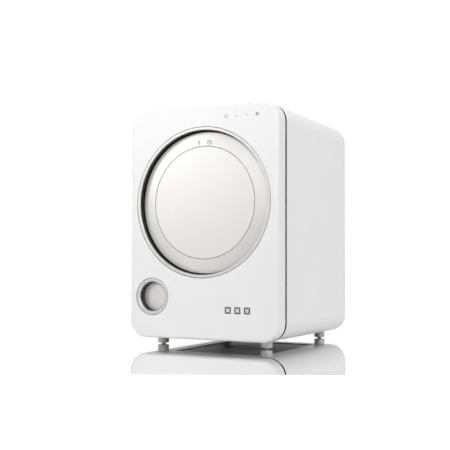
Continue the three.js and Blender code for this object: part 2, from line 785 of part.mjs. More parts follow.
// Square duct from the blower's spout to the back, in the body's own coordinates.
function exhaustDuct() {
  const wall = 2.5;
  const half = ductHeight / 2;
  const y0 = fanFrontY - 4 - wall;
  const end = coverFrontY - 27;
  const turnY = fanFrontY + fanDepth + 3 + wall;
  const right = ductX + half + 4 - touch;
  const z0 = ductZ - half;
  const z1 = ductZ + half;
  const outer = joined(
    box(ductX - half, right, y0, turnY, z0, z1),
    box(ductX - half, ductX + half, turnY - 1, end, z0, z1),
  );
  const hollow = joined(
    box(ductX - half + wall, right + 1, y0 + wall, turnY - wall, z0 + wall, z1 - wall),
    box(ductX - half + wall, ductX + half - wall, y0 + wall, end + 1, z0 + wall, z1 - wall),
  );
  return piece("exhaust_duct", cut(outer, hollow), "greyPlastic");
}

// Centred on the exhaust collar, with y as it is in the body.
function exhaustParts() {
  const y0 = coverFrontY - 27 + touch;
  const inner = collarRadius - 3;
  const end = backY - 0.5;
  const pivotZ = inner - 6;
  const collar = turned([
    [inner, y0], [collarRadius + 6, y0], [collarRadius + 6, y0 + 2.5], [collarRadius, y0 + 2.5],
    [collarRadius, end], [inner, end],
  ], midFacets);
  const flapY = end - 6.5;
  const pinRadius = 1.5;
  const free = inner * Math.cos(Math.PI / midFacets);
  const chord = Math.sqrt(free ** 2 - (pivotZ + pinRadius) ** 2) - running;
  const axle = new THREE.CylinderGeometry(pinRadius, pinRadius, 2 * chord, 8).rotateZ(Math.PI / 2);
  const disc = rod(inner - 3, flapY, flapY + 1.5);
  const pin = solidOf(axle.translate(0, flapY + 0.75, pivotZ));
  return [
    piece("exhaust_collar", collar, "greyPlastic"),
    piece("exhaust_flap", joined(disc, pin), "blackPlastic"),
  ];
}

// Filter cassette: a frame with crossbars and a grip plate at its outer end.
function intakeFilter() {
  const z = topZ - filterDrop;
  const y0 = coverFrontY - 48;
  const half = filterWidth / 2;
  const tall = filterHeight / 2;
  const frame = cut(
    box(-half, half, y0, backY - 0.2, z - tall, z + tall),
    box(-half + 4, half - 4, y0 + 4, coverFrontY - 2, z - tall - 1, z + tall + 1),
    box(-24, 24, coverBackY - 2, backY + 1, z - tall + 5, z + tall - 5),
  );
  const bars = [-0.5, 0, 0.5].map((share) =>
    box(share * half - 1, share * half + 1, y0 + 2, coverFrontY, z - 1, z + 1));
  return piece("intake_filter", joined(frame, ...bars), "greyPlastic");
}

// The belt runs round two circles, on straight lines that touch both.
function beltLine() {
  const dx = motorX;
  const dz = motorZ - axisZ;
  const far = Math.hypot(dx, dz);
  const drumR = (drumRadius + touch) / Math.cos(Math.PI / bigFacets);
  const pulleyR = pulleyRadius + touch;
  const towards = Math.atan2(dz, dx);
  const spread = Math.acos((drumR - pulleyR) / far);
  return { dx, dz, drumR, pulleyR, towards, spread };
}

function driveBelt() {
  const { dx, dz, drumR, pulleyR, towards, spread } = beltLine();
  const loop = (offset) => {
    const shape = new THREE.Shape();
    const from = towards + spread;
    const to = towards - spread;
    const steps = 36;
    const around = (r, cx, cz, start, end, count) =>
      arc(cx, cz, r, start, end, count).map(([x, z]) => new THREE.Vector2(x, z));
    shape.setFromPoints([
      ...around(drumR + offset, 0, 0, from, to + Math.PI * 2, steps),
      ...around(pulleyR + offset, dx, dz, to, from, 6),
    ]);
    return shape;
  };
  const y0 = beltY - beltWidth / 2;
  const y1 = beltY + beltWidth / 2;
  const clearance = drumR * (1 / Math.cos(Math.PI / 72) - 1);
  const band = cut(plate(loop(beltThickness + clearance), y0, y1), plate(loop(clearance), y0 - 1, y1 + 1));
  return piece("drive_belt", band, "rubber");
}

// The idler's roller rests on the outside of the belt's lower left run.
function idlerPlace() {
  const { drumR, pulleyR, towards, spread, dx, dz } = beltLine();
  const out = towards - spread;
  const normal = new THREE.Vector2(Math.cos(out), Math.sin(out));
  const drumEnd = normal.clone().multiplyScalar(drumR);
  const pulleyEnd = normal.clone().multiplyScalar(pulleyR).add(new THREE.Vector2(dx, dz));
  const clear = beltThickness + idlerRadius + 3 * touch;
  const roller = drumEnd.lerp(pulleyEnd, 0.72).add(normal.multiplyScalar(clear));
  return { x: roller.x, z: roller.y + axisZ, pivotX: roller.x - 50, pivotZ: roller.y + axisZ - 50 };
}

function idlerParts() {
  const { x, z, pivotX, pivotZ } = idlerPlace();
  const dx = x - pivotX;
  const dz = z - pivotZ;
  const length = Math.hypot(dx, dz);
  const armY = beltY + 11;
  const pinRadius = 4;
  const bar = box(0, length, armY, armY + 4, -7, 7).rotate([0, (-Math.atan2(dz, dx) * 180) / Math.PI, 0]);
  const ends = joined(rod(9, armY, armY + 4), rod(9, armY, armY + 4, dx, dz));
  const axle = rod(pinRadius, beltY - 10, armY + 1, dx, dz, smallFacets);
  const bore = rod(pinRadius + running, armY - 1, armY + 5);
  const arm = piece("idler_arm", cut(joined(bar, ends, axle), bore), "castMetal");
  const roller = piece("idler_pulley",
    ring(pinRadius + running, idlerRadius, beltY - 7, beltY + 7, midFacets), "greyPlastic");
  roller.position.set(dx, 0, dz);
  const spring = piece("idler_spring", coilSpring(7, 1, armY - 12, armY - touch, 3), "steel");
  const low = panTopZ + touch - pivotZ;
  const stand = joined(
    box(-14, 14, armY + 7, armY + 10, low, 12),
    box(-14, 14, armY + 7, armY + 36, low, low + 3),
    rod(pinRadius, armY - 14, armY + 8, 0, 0, smallFacets),
  );
  const group = new THREE.Group();
  group.position.set(pivotX, 0, pivotZ);
  group.add(arm, roller, spring, piece("idler_bracket", stand, "galvanised"));
  return group;
}

// ---------------------------------------------------------------- assembly

function placed(x, y, z, ...meshes) {
  const group = new THREE.Group();
  group.position.set(x, y, z);
  group.add(...meshes);
  return group;
}

const drum = drumParts();
const dryer = new THREE.Group();
dryer.name = "clothes_dryer";
dryer.add(
  frontPanel(), seamGasket(), cabinetShell(), basePan(), rearCover(), powerInlet(), feet(),
  placed(0, frontY, axisZ, ...doorWell(), hingeBracket(), catchMagnet(), ...doorSkins(),
    ...doorInner(), doorHingeArm()),
  placed(buttonX, frontY, buttonZ(), ...buttonParts()),
  lightGuide(), controlBoard(),
  ...bulkheads(), placed(0, 0, axisZ, ...drum.turning, ...drum.fixed), ...heater(),
  placed(motorX, 0, motorZ, ...motorParts(), ...rotorParts(), blower()),
  placed(0, 0, axisZ, driveBelt()), idlerParts(),
  exhaustDuct(), placed(ductX, 0, ductZ, ...exhaustParts()), intakeFilter(),
);

export default dryer;
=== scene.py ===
"""A compact front-loading clothes dryer: its looks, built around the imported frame. Metres, +Z up."""

import json
import math

import bmesh
import bpy
from mathutils import Matrix, Vector


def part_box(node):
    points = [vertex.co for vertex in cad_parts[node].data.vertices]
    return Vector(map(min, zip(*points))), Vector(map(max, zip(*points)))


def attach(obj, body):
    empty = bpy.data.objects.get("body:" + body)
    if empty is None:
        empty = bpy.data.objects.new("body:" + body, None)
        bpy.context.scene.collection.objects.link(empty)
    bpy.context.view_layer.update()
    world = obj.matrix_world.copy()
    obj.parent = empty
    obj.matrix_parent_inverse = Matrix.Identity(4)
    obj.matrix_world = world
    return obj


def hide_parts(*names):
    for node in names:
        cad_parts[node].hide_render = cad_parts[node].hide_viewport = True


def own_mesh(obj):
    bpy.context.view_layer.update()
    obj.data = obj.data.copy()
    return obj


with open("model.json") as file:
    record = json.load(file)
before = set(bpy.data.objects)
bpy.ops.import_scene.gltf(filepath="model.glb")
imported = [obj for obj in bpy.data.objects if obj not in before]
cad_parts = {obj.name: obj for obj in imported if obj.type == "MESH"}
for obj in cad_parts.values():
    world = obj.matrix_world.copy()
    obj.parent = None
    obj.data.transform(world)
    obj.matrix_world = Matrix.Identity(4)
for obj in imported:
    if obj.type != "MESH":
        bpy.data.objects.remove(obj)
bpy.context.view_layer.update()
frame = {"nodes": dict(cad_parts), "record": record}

MM = 0.001

# ------------------------------------------------------------------ places, from the frame

PANEL_LOW, PANEL_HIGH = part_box("front_panel")
SHELL_LOW, SHELL_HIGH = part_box("cabinet_shell")
GASKET_LOW, GASKET_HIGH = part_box("seam_gasket")
RING_LOW, RING_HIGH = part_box("door_trim_ring")
TUNNEL_LOW, TUNNEL_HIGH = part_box("door_tunnel")
BAND_LOW, BAND_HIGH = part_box("door_outer_band")
DISC_LOW, DISC_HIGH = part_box("door_centre_disc")
DOOR_FRAME_LOW, DOOR_FRAME_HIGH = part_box("door_frame")
BOWL_LOW, BOWL_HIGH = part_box("door_bowl")
SEAL_LOW, SEAL_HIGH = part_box("door_seal")
BUTTON_LOW, BUTTON_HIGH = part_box("start_button")
BUTTON_RING_LOW, BUTTON_RING_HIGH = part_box("button_trim_ring")
DRUM_LOW, DRUM_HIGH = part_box("drum_shell")
GUIDE_LOW, GUIDE_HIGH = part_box("light_guide")

FRONT = PANEL_LOW.y
BACK = SHELL_HIGH.y
HALF_WIDTH = PANEL_HIGH.x
BOTTOM = PANEL_LOW.z
TOP = PANEL_HIGH.z
DOOR_CENTRE = Vector((0, 0, (RING_LOW.z + RING_HIGH.z) / 2))
BUTTON_CENTRE = Vector((
    (BUTTON_LOW.x + BUTTON_HIGH.x) / 2, 0, (BUTTON_LOW.z + BUTTON_HIGH.z) / 2))
BUTTON_RADIUS = (BUTTON_HIGH.x - BUTTON_LOW.x) / 2
BUTTON_RING_RADIUS = (BUTTON_RING_HIGH.x - BUTTON_RING_LOW.x) / 2

# ------------------------------------------------------------------ sizes that the frame doesn't state

OUTLINE_RADIUS = 45 * MM
FRONT_EDGE_RADIUS = 8 * MM
REAR_EDGE_RADIUS = 20 * MM
WALL = 2.5 * MM
PRINT = 0.12 * MM  # thickness of printed marks; the panel's face lies this far inside the frame's
SHADOW_GAP = 1.1 * MM  # dark line between a trim ring and the panel around it
DOOR_TRIM_WIDTH = 7.5 * MM
BUTTON_TRIM_WIDTH = 9.6 * MM
TRIM_INSET = 0.3 * MM  # the trim rings lie this far below the front
CAP_DEPTH = 9.5 * MM  # the button's rim
CAP_SKIN = 6 * MM
CAP_WALL = 3 * MM
CAP_STEM = 6 * MM
WELL_RADIUS = RING_HIGH.x - DOOR_TRIM_WIDTH
WELL_STEP_DEPTH = 39 * MM
NECK_RADIUS = 156 * MM
DOOR_SLOPE = 0.15  # how steeply its band falls back to the rim
DOOR_GROOVE = 1.5 * MM
DOOR_SKIN = 3 * MM
DISC_CROWN = 0.4 * MM
DOOR_LINER_HOLE = 116.8 * MM
DOOR_LINER_FACE = 141 * MM  # radius of the ring that the disc and the band rest on
DOOR_LINER_STEP = 5.5 * MM
DOOR_LINER_SKIN = 4 * MM
BOWL_WALL = 3 * MM
BOWL_TAPER = 25 * MM
BOWL_FLANGE = 8 * MM
SEAL_WIDTH = 5.5 * MM
SEAL_LIP = 1 * MM  # half the width of its tip
HINGE_SLOT = (7.4, 12.6)  # degrees above and below the door's centre
GASKET_INSET = 0.2 * MM
GASKET_LIP = 0.4 * MM
GASKET_GROOVE = 4.8 * MM
GASKET_DEPTH = 11.8 * MM
PANEL_LIP = 12 * MM
SHELL_LIP = 14 * MM
BASE_MARGIN = 36 * MM
REAR_LIP = 30 * MM
DRUM_WALL = 1.2 * MM
FOOT_STEM = 6 * MM
FOOT_CLEARANCE = 0.5 * MM
FOOT_TURNS = 14
THREAD_DEPTH = 0.7 * MM
THREAD_START = 4 * MM  # above the floor
FULL_TURN = 2 * math.pi
WINDOW_RADIUS = 1.5 * MM
WINDOW_CLEARANCE = 0.15 * MM
WINDOW_INSET = 8 * MM  # end of the light guide to its first window
WINDOW_PITCH = 28 * MM
WINDOW_XS = [GUIDE_LOW.x + WINDOW_INSET + WINDOW_PITCH * i for i in range(4)]
WINDOW_Z = (GUIDE_LOW.z + GUIDE_HIGH.z) / 2

# ------------------------------------------------------------------ camera, lights and floor

CAMERA_YAW = math.radians(27.44)
CAMERA_TILT = math.radians(2.63)
CAMERA_ROLL = math.radians(0.2)
CAMERA_LENS = 67.64
CAMERA_PLACE = Vector((1.0179, -2.0760, 0.2080))
FLOOR_DEPTH = 8.0
FLOOR_AHEAD = 0.714  # floor in front of the machine's middle
NEAR_WALL = 0.36
FAR_WALL = 1.06
WALL_LIFT = 0.25  # the brightest part of the wall lies a little above the horizon
WALL_FADE = (-0.4, 0.7)  # where the fade from near to far starts and ends
FLOOR_HALF_WIDTH = 6


def make_camera():
    data = bpy.data.cameras.new("camera")
    data.lens = CAMERA_LENS
    data.sensor_width = 36
    data.clip_end = 100
    camera = bpy.data.objects.new("camera", data)
    ahead = Vector((
        -math.sin(CAMERA_YAW) * math.cos(CAMERA_TILT),
        math.cos(CAMERA_YAW) * math.cos(CAMERA_TILT),
        math.sin(CAMERA_TILT)))
    right = Vector((math.cos(CAMERA_YAW), math.sin(CAMERA_YAW), 0))
    above = right.cross(ahead)
    turn = Matrix((right, above, -ahead)).transposed().to_4x4()
    roll = Matrix.Rotation(CAMERA_ROLL, 4, "Z")
    camera.matrix_world = Matrix.Translation(CAMERA_PLACE) @ turn @ roll
    bpy.context.scene.collection.objects.link(camera)
    bpy.context.scene.camera = camera


def area_light(name, place, target, width, height, watts, spread=180):
    data = bpy.data.lights.new(name, "AREA")
    data.shape = "RECTANGLE"
    data.size = width
    data.size_y = height
    data.energy = watts
    data.spread = math.radians(spread)
    light = bpy.data.objects.new(name, data)
    light.location = place
    light.rotation_mode = "QUATERNION"
    light.rotation_quaternion = (Vector(target) - Vector(place)).to_track_quat("-Z", "Y")
    bpy.context.scene.collection.objects.link(light)


def light_the_world(tree):
    """White walls: full white behind the machine, dimmer on the side where the camera stands."""
    where = node(tree, "ShaderNodeTexCoord").outputs["Generated"]
    ahead = (-math.sin(CAMERA_YAW), math.cos(CAMERA_YAW), WALL_LIFT)
    towards = node(tree, "ShaderNodeVectorMath", {0: where, 1: ahead}, operation="DOT_PRODUCT")
    level = node(tree, "ShaderNodeMapRange", {
        "Value": towards.outputs["Value"], "From Min": WALL_FADE[0], "From Max": WALL_FADE[1],
        "To Min": NEAR_WALL, "To Max": FAR_WALL})
    background = tree.nodes["Background"]
    tree.links.new(level.outputs[0], background.inputs["Strength"])
    background.inputs["Color"].default_value = (1, 1, 1, 1)


def make_studio():
    scene = bpy.context.scene
    scene.view_settings.view_transform = "Standard"
    scene.view_settings.look = "None"
    world = bpy.data.worlds.new("studio")
    world.use_nodes = True
    light_the_world(world.node_tree)
    scene.world = world
    area_light("key", (0.8, -3.0, 1.6), (0, -0.2, 0.75), 1.2, 1.2, 4.3, 44)
    area_light("glow", (-1.9, -2.4, 1.3), (0, -0.2, 0.6), 1.0, 1.0, 3.5, 70)
    area_light("side", (3.0, -0.8, 1.5), (0.2, 0, 0.3), 1.4, 1.4, 28)
    floor_mesh = bmesh.new()
    bmesh.ops.create_grid(floor_mesh, x_segments=1, y_segments=1, size=1)
    bmesh.ops.scale(floor_mesh, verts=floor_mesh.verts, vec=(FLOOR_HALF_WIDTH, FLOOR_DEPTH / 2, 1))
    bmesh.ops.translate(floor_mesh, verts=floor_mesh.verts,
                        vec=(0, FLOOR_DEPTH / 2 - FLOOR_AHEAD, 0))
    bmesh.ops.rotate(floor_mesh, verts=floor_mesh.verts,
                     matrix=Matrix.Rotation(CAMERA_YAW, 3, "Z"))
    mesh = bpy.data.meshes.new("floor")
    floor_mesh.to_mesh(mesh)
    floor_mesh.free()
    mesh.materials.append(glossy_white_floor())
    floor = bpy.data.objects.new("floor", mesh)
    scene.collection.objects.link(floor)


# ------------------------------------------------------------------ materials


def srgb(code):
    """A hex colour as linear RGBA."""
    parts = [int(code[i:i + 2], 16) / 255 for i in (0, 2, 4)]
    return (*[c / 12.92 if c <= 0.04045 else ((c + 0.055) / 1.055) ** 2.4 for c in parts], 1)


def node(tree, kind, inputs=None, **settings):
    """One node. inputs gives each socket, by name or number, a value or another node's output."""
    made = tree.nodes.new(kind)
    for name, value in settings.items():
        setattr(made, name, value)
    for socket, value in (inputs or {}).items():
        if isinstance(value, bpy.types.NodeSocket):
            tree.links.new(value, made.inputs[socket])
        else:
            made.inputs[socket].default_value = value
    return made


def new_tree(name):
    material = bpy.data.materials.new(name)
    material.use_nodes = True
    material.node_tree.nodes.clear()
    return material, material.node_tree


def finish_material(material, shader):
    node(material.node_tree, "ShaderNodeOutputMaterial", {"Surface": shader.outputs[0]})
    return material


def glossy_white_floor():
    """Polished white acrylic table, which mirrors what stands on it almost as a silvered glass."""
    material, tree = new_tree("white_acrylic_table")
    shader = node(tree, "ShaderNodeBsdfPrincipled", {
        "Base Color": (1, 1, 1, 1), "Roughness": 0.03, "Metallic": 0.9, "IOR": 1.5})
    return finish_material(material, shader)


def satin_lacquer(name, colour, shade, roughness, pearl=0.0):
    """Sprayed satin lacquer on moulded ABS: an even, soft sheen with a faint orange peel.
    pearl is the share of fine metal flakes in it."""
    material, tree = new_tree(name)
    where = node(tree, "ShaderNodeTexCoord").outputs["Object"]
    cloud = node(tree, "ShaderNodeTexNoise", {"Vector": where, "Scale": 1 / (111 * MM), "Detail": 2})
    tint = node(tree, "ShaderNodeMix", {0: cloud.outputs[0], 6: srgb(colour), 7: srgb(shade)},
                data_type="RGBA")
    peel = node(tree, "ShaderNodeTexNoise", {"Vector": where, "Scale": 1 / (4 * MM), "Detail": 1})
    bump = node(tree, "ShaderNodeBump", {
        "Height": peel.outputs[0], "Strength": 0.06, "Distance": 0.05 * MM})
    gloss = node(tree, "ShaderNodeMapRange", {
        "Value": cloud.outputs[0], "To Min": roughness - 0.03, "To Max": roughness + 0.03})
    shader = node(tree, "ShaderNodeBsdfPrincipled", {
        "Base Color": tint.outputs[2], "Roughness": gloss.outputs[0], "IOR": 1.48,
        "Metallic": pearl, "Normal": bump.outputs[0]})
    return finish_material(material, shader)


def turned_aluminium(name, centre, colour):
    """Anodised aluminium faced on a lathe: fine rings round the centre, which stretch its glints."""
    material, tree = new_tree(name)
    where = node(tree, "ShaderNodeTexCoord").outputs["Object"]
    moved = node(tree, "ShaderNodeMapping", {"Vector": where, "Location": (-centre.x, 0, -centre.z)})
    flat = node(tree, "ShaderNodeVectorMath", {0: moved.outputs[0], 1: (1, 0, 1)},
                operation="MULTIPLY")
    radius = node(tree, "ShaderNodeVectorMath", {0: flat.outputs[0]}, operation="LENGTH")
    rings = node(tree, "ShaderNodeTexNoise", {
        "W": radius.outputs["Value"], "Scale": 1 / (0.8 * MM), "Detail": 2},
        noise_dimensions="1D")
    bump = node(tree, "ShaderNodeBump", {
        "Height": rings.outputs[0], "Strength": 0.15, "Distance": 0.05 * MM})
    gloss = node(tree, "ShaderNodeMapRange", {
        "Value": rings.outputs[0], "To Min": 0.42, "To Max": 0.58})
    shader = node(tree, "ShaderNodeBsdfPrincipled", {
        "Base Color": srgb(colour), "Metallic": 1, "Roughness": gloss.outputs[0],
        "Normal": bump.outputs[0]})
    return finish_material(material, shader)


def grained_plastic(name, colour, shade, roughness, grain_mm):
    """Moulded ABS with a spark-eroded grain: small soft pits that break up its sheen."""
    material, tree = new_tree(name)
    where = node(tree, "ShaderNodeTexCoord").outputs["Object"]
    grain = node(tree, "ShaderNodeTexNoise", {
        "Vector": where, "Scale": 1 / (grain_mm * MM), "Detail": 3})
    tint = node(tree, "ShaderNodeMix", {0: grain.outputs[0], 6: srgb(colour), 7: srgb(shade)},
                data_type="RGBA")
    bump = node(tree, "ShaderNodeBump", {
        "Height": grain.outputs[0], "Strength": 0.25, "Distance": 0.1 * MM})
    gloss = node(tree, "ShaderNodeMapRange", {
        "Value": grain.outputs[0], "To Min": roughness - 0.06, "To Max": roughness + 0.06})
    shader = node(tree, "ShaderNodeBsdfPrincipled", {
        "Base Color": tint.outputs[2], "Roughness": gloss.outputs[0], "IOR": 1.5,
        "Normal": bump.outputs[0]})
    return finish_material(material, shader)


def moulded_rubber():
    """EPDM rubber: nearly black, dull, with a dusty bloom in soft patches."""
    material, tree = new_tree("epdm_rubber")
    where = node(tree, "ShaderNodeTexCoord").outputs["Object"]
    bloom = node(tree, "ShaderNodeTexNoise", {"Vector": where, "Scale": 1 / (12 * MM), "Detail": 4})
    tint = node(tree, "ShaderNodeMix", {0: bloom.outputs[0], 6: srgb("060606"), 7: srgb("0b0b0b")},
                data_type="RGBA")
    shader = node(tree, "ShaderNodeBsdfPrincipled", {
        "Base Color": tint.outputs[2], "Roughness": 0.9, "IOR": 1.2})
    return finish_material(material, shader)


def rolled_steel(name, colour, streak_axis_scale, roughness):
    """Cold-rolled stainless sheet: long faint streaks along the rolling direction."""
    material, tree = new_tree(name)
    where = node(tree, "ShaderNodeTexCoord").outputs["Object"]
    stretched = node(tree, "ShaderNodeMapping", {"Vector": where, "Scale": streak_axis_scale})
    streaks = node(tree, "ShaderNodeTexNoise", {
        "Vector": stretched.outputs[0], "Scale": 1 / (1.2 * MM), "Detail": 3})
    gloss = node(tree, "ShaderNodeMapRange", {
        "Value": streaks.outputs[0], "To Min": roughness - 0.08, "To Max": roughness + 0.12})
    bump = node(tree, "ShaderNodeBump", {
        "Height": streaks.outputs[0], "Strength": 0.1, "Distance": 0.03 * MM})
    shader = node(tree, "ShaderNodeBsdfPrincipled", {
        "Base Color": srgb(colour), "Metallic": 1, "Roughness": gloss.outputs[0],
        "Normal": bump.outputs[0]})
    return finish_material(material, shader)


def perforated_steel():
    """Stainless drum sheet punched with 4 mm holes on an 11 mm grid; each hole is painted near black,
    as painted shade for the unlit space seen through it.
    """
    pitch = 11 * MM
    hole = 2 * MM
    radius = DRUM_HIGH.x
    material, tree = new_tree("perforated_stainless_hole_shade")
    where = node(tree, "ShaderNodeTexCoord").outputs["Object"]
    moved = node(tree, "ShaderNodeMapping", {"Vector": where, "Location": -DOOR_CENTRE})
    axes = node(tree, "ShaderNodeSeparateXYZ", {0: moved.outputs[0]})
    angle = node(tree, "ShaderNodeMath", {0: axes.outputs["X"], 1: axes.outputs["Z"]},
                 operation="ARCTAN2")
    around = node(tree, "ShaderNodeMath", {0: angle.outputs[0], 1: radius}, operation="MULTIPLY")
    grid = node(tree, "ShaderNodeCombineXYZ", {0: around.outputs[0], 1: axes.outputs["Y"]})
    cell = node(tree, "ShaderNodeVectorMath", {0: grid.outputs[0], 1: (pitch, pitch, pitch)},
                operation="MODULO")
    wrapped = node(tree, "ShaderNodeVectorMath", {0: cell.outputs[0]}, operation="ABSOLUTE")
    half = node(tree, "ShaderNodeVectorMath", {
        0: wrapped.outputs[0], 1: (pitch / 2, pitch / 2, 0)}, operation="DISTANCE")
    solid = node(tree, "ShaderNodeMapRange", {
        "Value": half.outputs["Value"], "From Min": hole, "From Max": hole * 1.2})
    # the near-black 15171a is painted shade for the unlit space behind each hole; c9cbcd is the steel's
    # own colour
    tint = node(tree, "ShaderNodeMix", {0: solid.outputs[0], 6: srgb("15171a"), 7: srgb("c9cbcd")},
                data_type="RGBA")
    bump = node(tree, "ShaderNodeBump", {
        "Height": solid.outputs[0], "Strength": 0.6, "Distance": 0.5 * MM})
    shader = node(tree, "ShaderNodeBsdfPrincipled", {
        "Base Color": tint.outputs[2], "Metallic": solid.outputs[0], "Roughness": 0.3,
        "Normal": bump.outputs[0]})
    return finish_material(material, shader)


def galvanised_sheet():
    """Hot-dip galvanised steel: a spangle of flat crystals about 9 mm wide, each its own grey."""
    material, tree = new_tree("galvanised_steel")
    where = node(tree, "ShaderNodeTexCoord").outputs["Object"]
    crystals = node(tree, "ShaderNodeTexVoronoi", {"Vector": where, "Scale": 1 / (9 * MM)})
    tone = node(tree, "ShaderNodeSeparateColor", {0: crystals.outputs["Color"]})
    tint = node(tree, "ShaderNodeMix", {0: tone.outputs[0], 6: srgb("a4a8ab"), 7: srgb("c2c6c8")},
                data_type="RGBA")
    gloss = node(tree, "ShaderNodeMapRange", {
        "Value": tone.outputs[1], "To Min": 0.35, "To Max": 0.55})
    shader = node(tree, "ShaderNodeBsdfPrincipled", {
        "Base Color": tint.outputs[2], "Metallic": 1, "Roughness": gloss.outputs[0]})
    return finish_material(material, shader)


def cast_aluminium(name, colour, shade):
    """Die-cast aluminium, tumbled: a dull, slightly pitted grey."""
    material, tree = new_tree(name)
    where = node(tree, "ShaderNodeTexCoord").outputs["Object"]
    pits = node(tree, "ShaderNodeTexNoise", {"Vector": where, "Scale": 1 / (2 * MM), "Detail": 4})
    tint = node(tree, "ShaderNodeMix", {0: pits.outputs[0], 6: srgb(colour), 7: srgb(shade)},
                data_type="RGBA")
    bump = node(tree, "ShaderNodeBump", {
        "Height": pits.outputs[0], "Strength": 0.3, "Distance": 0.15 * MM})
    gloss = node(tree, "ShaderNodeMapRange", {
        "Value": pits.outputs[0], "To Min": 0.42, "To Max": 0.6})
    shader = node(tree, "ShaderNodeBsdfPrincipled", {
        "Base Color": tint.outputs[2], "Metallic": 1, "Roughness": gloss.outputs[0],
        "Normal": bump.outputs[0]})
    return finish_material(material, shader)


def smoked_polycarbonate():
    """Clear polycarbonate with a grey smoke tint and a hard gloss."""
    material, tree = new_tree("smoked_polycarbonate")
    where = node(tree, "ShaderNodeTexCoord").outputs["Object"]
    haze = node(tree, "ShaderNodeTexNoise", {"Vector": where, "Scale": 1 / (25 * MM), "Detail": 2})
    gloss = node(tree, "ShaderNodeMapRange", {
        "Value": haze.outputs[0], "To Min": 0.04, "To Max": 0.1})
    shader = node(tree, "ShaderNodeBsdfPrincipled", {
        "Base Color": srgb("8b9196"), "Roughness": gloss.outputs[0], "IOR": 1.58,
        "Transmission Weight": 0.85})
    return finish_material(material, shader)


def pressed_felt():
    """Grey wool felt: matted fibres about 1 mm long, with a soft fuzz at grazing angles."""
    material, tree = new_tree("pressed_felt")
    where = node(tree, "ShaderNodeTexCoord").outputs["Object"]
    fibres = node(tree, "ShaderNodeTexNoise", {"Vector": where, "Scale": 1 / MM, "Detail": 5})
    tint = node(tree, "ShaderNodeMix", {0: fibres.outputs[0], 6: srgb("4d4b47"), 7: srgb("8a867e")},
                data_type="RGBA")
    bump = node(tree, "ShaderNodeBump", {
        "Height": fibres.outputs[0], "Strength": 0.8, "Distance": 0.4 * MM})
    shader = node(tree, "ShaderNodeBsdfPrincipled", {
        "Base Color": tint.outputs[2], "Roughness": 0.95, "Sheen Weight": 0.4,
        "Normal": bump.outputs[0]})
    return finish_material(material, shader)


def circuit_board():
    """Glass-epoxy board under green solder mask, with copper tracks 3 mm apart showing through."""
    material, tree = new_tree("solder_mask")
    where = node(tree, "ShaderNodeTexCoord").outputs["Object"]
    tracks = node(tree, "ShaderNodeTexBrick", {
        "Vector": where, "Color1": srgb("1c5438"), "Color2": srgb("1f5c3e"), "Mortar": srgb("2f7a50"),
        "Scale": 1 / (12 * MM), "Mortar Size": 0.03})
    shader = node(tree, "ShaderNodeBsdfPrincipled", {
        "Base Color": tracks.outputs["Color"], "Roughness": 0.35, "IOR": 1.5})
    return finish_material(material, shader)


def screen_ink(name, colour, shade):
    """Screen-printed ink: matt, a touch uneven where the mesh of the screen left it thin."""
    material, tree = new_tree(name)
    where = node(tree, "ShaderNodeTexCoord").outputs["Object"]
    mesh = node(tree, "ShaderNodeTexNoise", {"Vector": where, "Scale": 1 / (0.9 * MM), "Detail": 2})
    tint = node(tree, "ShaderNodeMix", {0: mesh.outputs[0], 6: srgb(colour), 7: srgb(shade)},
                data_type="RGBA")
    shader = node(tree, "ShaderNodeBsdfPrincipled", {
        "Base Color": tint.outputs[2], "Roughness": 0.6, "IOR": 1.5})
    return finish_material(material, shader)


def make_materials():
    return {
        "panel_lacquer": satin_lacquer("panel_satin_lacquer", "e5e5e5", "e2e2e2", 0.36),
        "door_lacquer": satin_lacquer("door_satin_lacquer", "dfdedc", "dddcda", 0.42, 0.4),
        "shell_lacquer": satin_lacquer("shell_satin_lacquer", "e6e6e6", "e3e3e3", 0.4),
        "door_trim": turned_aluminium("door_trim_aluminium", DOOR_CENTRE, "d2d2cf"),
        "button_trim": turned_aluminium("button_trim_aluminium", BUTTON_CENTRE, "d2d2cf"),
        "button_metal": turned_aluminium("button_aluminium", BUTTON_CENTRE, "e2dddb"),
        "black_plastic": grained_plastic("black_abs", "060607", "0b0b0c", 0.5, 1.2),
        "grey_plastic": grained_plastic("grey_abs", "8f9294", "999c9e", 0.5, 1.4),
        "rubber": moulded_rubber(),
        "drum_steel": rolled_steel("stainless_sheet", "c3c5c7", (1, 0.05, 1), 0.3),
        "drum_wall": perforated_steel(),
        "galvanised_sheet": galvanised_sheet(),
        "cast_metal": cast_aluminium("cast_aluminium", "8f9294", "a3a6a8"),
        "foot_metal": cast_aluminium("foot_aluminium", "bcbdb9", "c8c9c5"),
        "clear_plastic": smoked_polycarbonate(),
        "felt": pressed_felt(),
        "circuit_board": circuit_board(),
        "dark_ink": screen_ink("dark_ink", "2b2b2b", "3a3a3a"),
        "grey_ink": screen_ink("grey_ink", "9c9c9c", "a8a8a8"),
        "pale_ink": screen_ink("pale_ink", "bcbcbc", "c6c6c6"),
        "opal_plastic": grained_plastic("opal_acrylic", "e4e4e2", "dcdcda", 0.4, 1.5),
    }


# ------------------------------------------------------------------ shaping


def corner_arcs(corners, closed=True, steps=5):
    """A path through (x, y, fillet) corners, with each fillet drawn as an arc."""
    points = []
    count = len(corners)
    for i, (x, y, fillet) in enumerate(corners):
        here = Vector((x, y))
        at_end = not closed and i in (0, count - 1)
        if fillet <= 0 or at_end:
            points.append(here)
            continue
        before = (Vector(corners[i - 1][:2]) - here).normalized()
        after = (Vector(corners[(i + 1) % count][:2]) - here).normalized()
        half = before.angle(after) / 2
        reach = fillet / math.tan(half)
        centre = here + (before + after).normalized() * fillet / math.sin(half)
        start = here + before * reach - centre
        sweep = math.pi - 2 * half
        turn = math.copysign(sweep, before.x * after.y - before.y * after.x) * -1
        for k in range(steps + 1):
            points.append(centre + Matrix.Rotation(turn * k / steps, 2) @ start)
    return points


